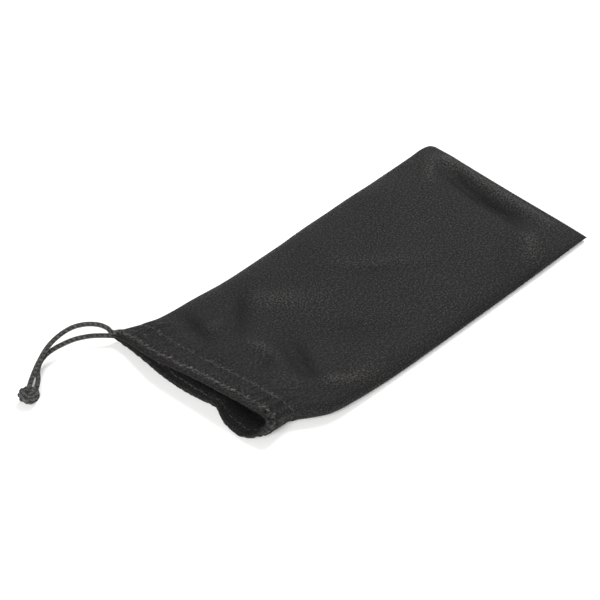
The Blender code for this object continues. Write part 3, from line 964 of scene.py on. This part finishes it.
@dataclass
class SeamAllowance:
    """The sewn edges inside the pouch: two layers held together by overlock loops."""

    form: PouchForm
    cloth: bpy.types.Material
    thread: bpy.types.Material
    width: float = 6.4
    inset: float = 1.3           # seam to the outside of the pouch
    layer: float = 0.4           # thickness of one layer
    part: float = 0.26           # half the distance between the two layers' middles
    loop_pitch: float = 2.2
    loop_points: int = 6         # points to one loop
    loop_thread: float = 0.16    # radius
    side_ends: tuple[float, float] = (86.0, -74.0)       # y of the side allowance's ends
    bottom_ends: tuple[float, float] = (-38.0, 47.0)     # x of the bottom allowance's ends
    bottom_y: float = 91.6

    def strip(self, name: str, sewn: np.ndarray, free: np.ndarray) -> bpy.types.Object:
        """Two layers of cloth between a sewn line and a free edge.

        Args:
            name: the piece's name.
            sewn: points along the seam in mm.
            free: points along the free edge in mm.

        Returns:
            The piece, on the pouch.
        """
        share = np.concatenate([np.linspace(0.0, 1.0, 7), np.linspace(1.0, 0.0, 7)])
        lift = np.concatenate([np.full(7, self.part), np.full(7, -self.part)])
        points = sewn[None] + share[:, None, None] * (free - sewn)[None]
        points[..., 2] += lift[:, None]
        steps = np.linalg.norm(np.diff(sewn, axis=0), axis=1)
        along = np.concatenate([[0.0], np.cumsum(steps)])
        flat = np.stack(np.broadcast_arrays(along[None, :], (share * self.width)[:, None]),
                        axis=2)
        piece = link(name, sheet_mesh(name, points, flat), self.cloth)
        solid = piece.modifiers.new("thickness", "SOLIDIFY")
        solid.thickness = self.layer * MM
        solid.offset = 0.0
        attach(piece, "pouch")
        return piece

    def overlock(self, name: str, free: np.ndarray, inward: np.ndarray) -> bpy.types.Object:
        """Wrap the free edge in slanted loops of thread.

        Args:
            name: the piece's name.
            free: points along the free edge in mm.
            inward: unit vector from the free edge towards the seam.

        Returns:
            The piece, on the pouch.
        """
        length = np.linalg.norm(np.diff(free, axis=0), axis=1).sum()
        count = self.loop_points * round(length / self.loop_pitch)
        line = resample(free, np.linspace(0.01, 0.99, count))
        phase = np.arange(count) * np.pi / (self.loop_points / 2)
        reach = 0.9 + 1.3 * np.cos(phase)
        line = line + inward * reach[:, None]
        line[:, 2] += 0.62 * np.sin(phase)
        piece = link(name, tube_mesh(name, [line], self.loop_thread), self.thread)
        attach(piece, "pouch")
        return piece

    def build(self) -> None:
        """Make the side and the bottom allowance with their overlock threads."""
        y = np.linspace(*self.side_ends, 90)
        wall = self.form.outside(np.zeros_like(y), self.form.length / 2 - y)
        wave = 0.12 * np.sin(y / 5.0)
        sewn = wall + np.stack([self.inset + 0 * y, 0 * y, wave], axis=1)
        free = sewn + np.array([self.width, 0.0, 0.1])
        side = self.strip("side_seam_folded_edge", sewn, free)
        loops = self.overlock("side_seam_overlock_loops", free, np.array([-1.0, 0.0, 0.0]))
        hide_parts("side_seam_allowance")
        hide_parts("side_overlock_thread")
        x = np.linspace(*self.bottom_ends, 50)
        level = np.full_like(x, self.form.closed_height / 2)
        sewn = np.stack([x, np.full_like(x, self.bottom_y), level], axis=1)
        free = sewn - np.array([0.0, self.width, 0.0])
        bottom = self.strip("bottom_seam_folded_edge", sewn, free)
        hoops = self.overlock("bottom_seam_overlock_loops", free, np.array([0.0, 1.0, 0.0]))
        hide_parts("bottom_seam_allowance")
        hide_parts("bottom_overlock_thread")
        for piece in (side, loops, bottom, hoops):
            LOG.info("%s: %d points", piece.name, len(piece.data.vertices))


# ---------------------------------------------------------------- the cord


@dataclass
class Braid:
    """Round cord braided from eight carriers, four each way, over a core."""

    diameter: float = 2.0
    pitch: float = 4.4           # one full turn of a carrier
    carriers: int = 8
    wide: float = 0.47           # half width of a yarn
    thick: float = 0.25          # half thickness of a yarn
    wave: float = 0.13           # how far it goes over and under
    proud: float = 0.04          # how far the crossings stand past the nominal diameter
    # Shade of each yarn, from -1 for plain charcoal to 1 for pale.
    tones: tuple = (0.50, -0.60, -0.75, 0.40, 0.20, -0.55, -0.80, 0.10)

    def frames(self, line: np.ndarray) -> tuple[np.ndarray, np.ndarray]:
        """Carry a pair of directions along a line without twist.

        Args:
            line: points of the line.

        Returns:
            Two unit vectors across the line at each point.
        """
        ahead = np.gradient(line, axis=0)
        ahead /= np.linalg.norm(ahead, axis=1, keepdims=True)
        side = np.cross(ahead[0], (0.0, 0.0, 1.0))
        if np.linalg.norm(side) < 0.1:
            side = np.cross(ahead[0], (1.0, 0.0, 0.0))
        sides = []
        for direction in ahead:
            side = side - direction * (side @ direction)
            side = side / np.linalg.norm(side)
            sides.append(side)
        sides = np.array(sides)
        return sides, np.cross(ahead, sides)

    def lay(self, cord: bmesh.types.BMesh, line: np.ndarray, section: int) -> None:
        """Lay the braid along a line in a bmesh.

        Args:
            cord: the bmesh, with a float vertex layer named yarn.
            line: points in mm, close together.
            section: sides of one yarn.
        """
        shade = cord.verts.layers.float["yarn"]
        side, up = self.frames(line)
        reach = np.concatenate([[0.0], np.cumsum(
            np.linalg.norm(np.diff(line, axis=0), axis=1))])
        middle = 0.5 * self.diameter - self.thick + self.proud
        cross = np.cos(self.carriers * np.pi * reach / self.pitch)
        for k in range(self.carriers):
            way = 1.0 if k % 2 else -1.0
            turn = way * 2 * np.pi * reach / self.pitch + (k // 2) * 4 * np.pi / self.carriers
            made = bmesh.ops.create_grid(cord, x_segments=section, y_segments=len(line) - 1,
                                         size=0.5)["verts"]
            for vertex in made:
                i = round((vertex.co.y + 0.5) * (len(line) - 1))
                around = 2 * np.pi * (vertex.co.x + 0.5)
                out = middle + way * self.wave * cross[i] + self.thick * math.sin(around)
                angle = turn[i] + self.wide * math.cos(around) / middle
                at = line[i] + out * (math.cos(angle) * side[i] + math.sin(angle) * up[i])
                vertex.co = Vector(at) * MM
                vertex[shade] = self.tones[k]

    def mesh(self, name: str, lines: Sequence[np.ndarray], section: int = 6) -> bpy.types.Mesh:
        """Braid cords along lines.

        Args:
            name: mesh name.
            lines: each an array of points in mm.
            section: sides of one yarn.

        Returns:
            One mesh that holds every yarn, closed at its ends.
        """
        cord = bmesh.new()
        cord.verts.layers.float.new("yarn")
        for line in lines:
            self.lay(cord, line, section)
        bmesh.ops.remove_doubles(cord, verts=cord.verts, dist=2 * SAME_PLACE)
        ends = [edge for edge in cord.edges if edge.is_boundary]
        bmesh.ops.holes_fill(cord, edges=ends, sides=0)
        bmesh.ops.recalc_face_normals(cord, faces=cord.faces)
        mesh = bpy.data.meshes.new(name)
        cord.to_mesh(mesh)
        cord.free()
        mesh.shade_smooth()
        return mesh


@dataclass
class Drawstring:
    """One braided cord: round the mouth in the hem, out at the seamed corner, and knotted."""

    form: PouchForm
    finish: bpy.types.Material
    braid: Braid = field(default_factory=Braid)
    upper: tuple = (
        (-47.6, -91.6, 5.0), (-49.6, -93.6, 5.8), (-51.4, -94.2, 7.2), (-54.2, -96.4, 8.7),
        (-57.2, -100.6, 9.8), (-59.4, -106.2, 10.2), (-60.0, -113.0, 9.7), (-59.2, -120.0, 8.4),
        (-56.4, -127.4, 6.7), (-53.6, -132.6, 5.6), (-50.6, -137.2, 4.8), (-48.4, -139.6, 4.2))
    lower: tuple = (
        (-47.4, -91.2, 3.0), (-49.6, -93.8, 3.7), (-51.2, -95.8, 4.1), (-52.9, -98.1, 4.5),
        (-55.2, -101.8, 5.0), (-57.7, -108.2, 5.5), (-59.2, -117.4, 5.4), (-58.6, -123.6, 4.7),
        (-56.0, -128.2, 3.9), (-51.8, -131.8, 3.4), (-48.4, -135.8, 3.4), (-47.2, -138.8, 3.6))
    knot_at: tuple[float, float, float] = (-47.6, -140.3, 3.8)
    knot_ring: float = 1.95      # how far the knot's turns stand from its middle
    knot_weave: float = 0.8      # how far they go over and under
    knot_spread: float = 1.28    # how much longer than wide it is
    knot_heading: float = 44.5   # degrees that its long way is turned
    knot_rise: float = 1.9       # how much of the weave shows as height
    tail: float = 4.0            # middle of the knot to the cut ends
    tails: tuple = ((0.86, -0.30, -0.36), (0.60, -0.66, -0.30))      # which way each points
    rise_to_exit: float = 4.8    # how far the cord moves up towards the lip to leave the hem

    def strand(self, name: str, route: tuple) -> tuple[bpy.types.Object, np.ndarray]:
        """Make one free strand.

        Args:
            name: the piece's name.
            route: points in mm that it passes, from the hem to the knot.

        Returns:
            The piece, on the loop, and its centre line in mm.
        """
        line = smooth_route(route, 190)
        piece = link(name, self.braid.mesh(name, [line]), self.finish)
        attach(piece, "free_loop")
        return piece, line

    def knot_turn(self, start: float) -> np.ndarray:
        """One cord's three crossed turns in the tight knot.

        Args:
            start: angle in degrees by which this cord lies ahead of the other.

        Returns:
            Points in mm.
        """
        t = np.linspace(0.0, 2 * np.pi, 150)
        ring = self.knot_ring + self.knot_weave * np.cos(3 * t)
        angle = 2 * t + math.radians(start)
        long, wide = self.knot_spread * ring * np.cos(angle), ring * np.sin(angle)
        turn = math.radians(self.knot_heading)
        x = long * math.cos(turn) - wide * math.sin(turn)
        y = long * math.sin(turn) + wide * math.cos(turn)
        z = self.knot_rise * self.knot_weave * np.sin(3 * t)
        return np.array(self.knot_at) + np.stack([x, y, z], axis=1)

    def knot(self) -> bpy.types.Object:
        """Tie both ends together in one overhand knot, with short cut tails.

        Returns:
            The piece, on the loop.
        """
        lines = [self.knot_turn(0.0), self.knot_turn(60.0)]
        share = np.linspace(0.25, 1.0, 14)[:, None]
        for way in self.tails:
            lines.append(np.array(self.knot_at) + share * self.tail * np.array([way]))
        piece = link("tied_overhand_knot", self.braid.mesh("tied_overhand_knot", lines),
                     self.finish)
        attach(piece, "free_loop")
        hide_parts("end_knot")
        LOG.info("%s: two cords, one turn", piece.name)
        return piece

    def channel_line(self) -> np.ndarray:
        """Run the cord's middle round inside the hem, from one side of the exit to the other.

        Returns:
            Points in mm.
        """
        around = np.linspace(0.012, 1.988, 420)
        depth = self.form.channel_depth + self.rise_to_exit * self.form.near_exit(around)
        return self.form.hem_middle(around, depth)

    def build(self) -> None:
        """Make the cord in the hem, the two strands and the knot."""
        inside = link("cord_in_hem", self.braid.mesh("cord_in_hem", [self.channel_line()], 4),
                      self.finish)
        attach(inside, "drawstring")
        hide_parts("drawstring_channel_run")
        LOG.info("%s: braided", inside.name)
        knot = self.knot()
        for side, route, pieces in (("upper", self.upper, (knot,)), ("lower", self.lower, ())):
            piece, line = self.strand(f"{side}_cord_end", route)
            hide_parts(f"drawstring_strand_{side}")


def gather(piece: bpy.types.Object) -> None:
    """Let a piece of the mouth draw together towards the exit as the cord is pulled."""
    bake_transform(piece, "pouch", "drawstring", start=(-0.060, -0.0935, 0.0),
             end=(-0.01082, -0.15252, 0.0))


# ---------------------------------------------------------------- studio


@dataclass
class Studio:
    """Plain paper floor, soft light and the camera."""

    target: tuple[float, float, float] = (-0.01202, -0.02076, 0.0)
    azimuth: float = 44.51
    elevation: float = 42.81
    distance: float = 1.0
    lens: float = 142.1          # focal length in mm, for a sensor 36 mm wide
    sky: float = 0.3             # strength of the even light from all round

    def direction(self, azimuth: float, elevation: float) -> Vector:
        """Point from the target to a place round the object.

        Args:
            azimuth: degrees round from the front.
            elevation: degrees above the floor.

        Returns:
            A unit vector.
        """
        a, e = math.radians(azimuth), math.radians(elevation)
        return Vector((math.sin(a) * math.cos(e), -math.cos(a) * math.cos(e), math.sin(e)))

    def floor(self) -> None:
        """A wide sheet of paper under the object."""
        sheet = bmesh.new()
        bmesh.ops.create_grid(sheet, x_segments=2, y_segments=2, size=3.0)
        mesh = bpy.data.meshes.new("paper_floor")
        sheet.to_mesh(mesh)
        sheet.free()
        link("paper_floor", mesh, StudioPaper().material())

    def lamp(self, name: str, azimuth: float, elevation: float, away: float, size: float,
             power: float) -> None:
        """Hang a square soft light that faces the object.

        Args:
            name: the lamp's name.
            azimuth: degrees round from the front.
            elevation: degrees above the floor.
            away: distance from the target in metres.
            size: its side in metres.
            power: watts.
        """
        data = bpy.data.lights.new(name, "AREA")
        data.size = size
        data.energy = power
        lamp = bpy.data.objects.new(name, data)
        towards = self.direction(azimuth, elevation)
        lamp.location = Vector(self.target) + towards * away
        lamp.rotation_euler = (-towards).to_track_quat("-Z", "Y").to_euler()
        bpy.context.scene.collection.objects.link(lamp)

    def camera(self) -> None:
        """The camera that looks down on the pouch from its cord corner."""
        data = bpy.data.cameras.new("camera")
        data.lens = self.lens
        data.sensor_width = 36.0
        data.clip_end = 20.0
        camera = bpy.data.objects.new("camera", data)
        back = self.direction(self.azimuth, self.elevation)
        camera.location = Vector(self.target) + back * self.distance
        camera.rotation_euler = (-back).to_track_quat("-Z", "Y").to_euler()
        bpy.context.scene.collection.objects.link(camera)
        bpy.context.scene.camera = camera

    def build(self) -> None:
        """Set the whole stage."""
        self.floor()
        self.camera()
        self.lamp("overhead", azimuth=200.0, elevation=55.0, away=1.4, size=0.6, power=18.0)
        self.lamp("front_fill", azimuth=26.0, elevation=34.0, away=1.5, size=0.9, power=27.0)
        world = bpy.data.worlds.new("studio")
        world.use_nodes = True
        sky = world.node_tree.nodes["Background"]
        sky.inputs["Color"].default_value = linear("#ffffff")
        sky.inputs["Strength"].default_value = self.sky
        bpy.context.scene.world = world
        bpy.context.scene.view_settings.view_transform = "Standard"


# Ridges and valleys on the front, from the closed end to the mouth.
FRONT_FOLDS = (
    Fold(((-30.0, 82.5), (-14.0, 80.0), (2.0, 78.0), (20.0, 78.0), (36.0, 74.5)), 3.0, -2.6, 0.3),
    Fold(((-8.0, 79.0), (8.0, 77.0), (24.0, 77.5)), 2.4, -1.2),
    Fold(((-36.0, 88.0), (-10.0, 86.5), (20.0, 86.0), (46.0, 85.0)), 2.8, 1.4, 0.2),
    Fold(((-38.0, 91.0), (-27.0, 78.0), (-15.0, 60.0)), 3.4, 1.5),
    Fold(((-32.0, 91.0), (-21.0, 83.0), (-13.0, 74.0)), 2.6, 1.2),
    Fold(((24.0, 80.0), (38.0, 69.0), (52.0, 58.0)), 4.8, 1.4),
    Fold(((20.0, 70.0), (37.0, 56.0), (52.0, 42.0)), 5.6, -0.9),
    Fold(((-24.0, -20.0), (-8.0, -6.0), (3.0, 6.0), (13.0, 19.0), (34.0, 40.0)), 2.4, -0.95),
    Fold(((-20.0, -12.0), (-6.0, 2.0), (8.0, 18.0), (24.0, 38.0)), 5.4, 0.7),
    Fold(((-2.0, -50.0), (24.0, -23.0), (46.0, 2.0)), 5.0, -1.1),
    Fold(((-34.0, -54.0), (-14.0, -36.0), (6.0, -14.0)), 5.6, 1.1),
    Fold(((-36.0, -32.0), (-19.0, -52.0), (-2.0, -70.0)), 4.2, -1.8),
    Fold(((-6.0, -42.0), (20.0, -54.0), (34.0, -60.0), (48.0, -66.0)), 4.0, -2.4),
    Fold(((-8.0, -64.0), (6.0, -60.0), (20.0, -61.0)), 3.0, 1.5),
    Fold(((-44.0, -66.0), (-28.0, -69.0), (-8.0, -74.0)), 3.4, -1.9),
    Fold(((16.0, -74.0), (30.0, -63.0), (42.0, -46.0), (45.0, -20.0)), 3.6, 1.6),
    Fold(((-26.0, -78.0), (-20.0, -66.0), (-17.0, -50.0)), 2.6, 1.0),
    Fold(((14.0, -76.0), (12.0, -66.0), (8.0, -54.0)), 2.6, -1.0),
)


def main() -> None:
    """Build the pouch's pieces in order over the frame."""
    logging.basicConfig(level=logging.INFO, format="%(name)s: %(message)s")
    Studio().build()
    knit = MicrofibreKnit().material()
    thread = SewingThread().material()
    form = PouchForm(folds=FRONT_FOLDS)
    Drawstring(form, BraidedPolyester().material()).build()
    cloth = MainCloth(form, knit).build()
    gather(cloth)
    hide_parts("front_panel", "back_panel", "front_casing", "back_casing")
    Stitching(form, thread).build()
    SeamAllowance(form, knit, thread).build()


if __name__ == "__main__":
    main()
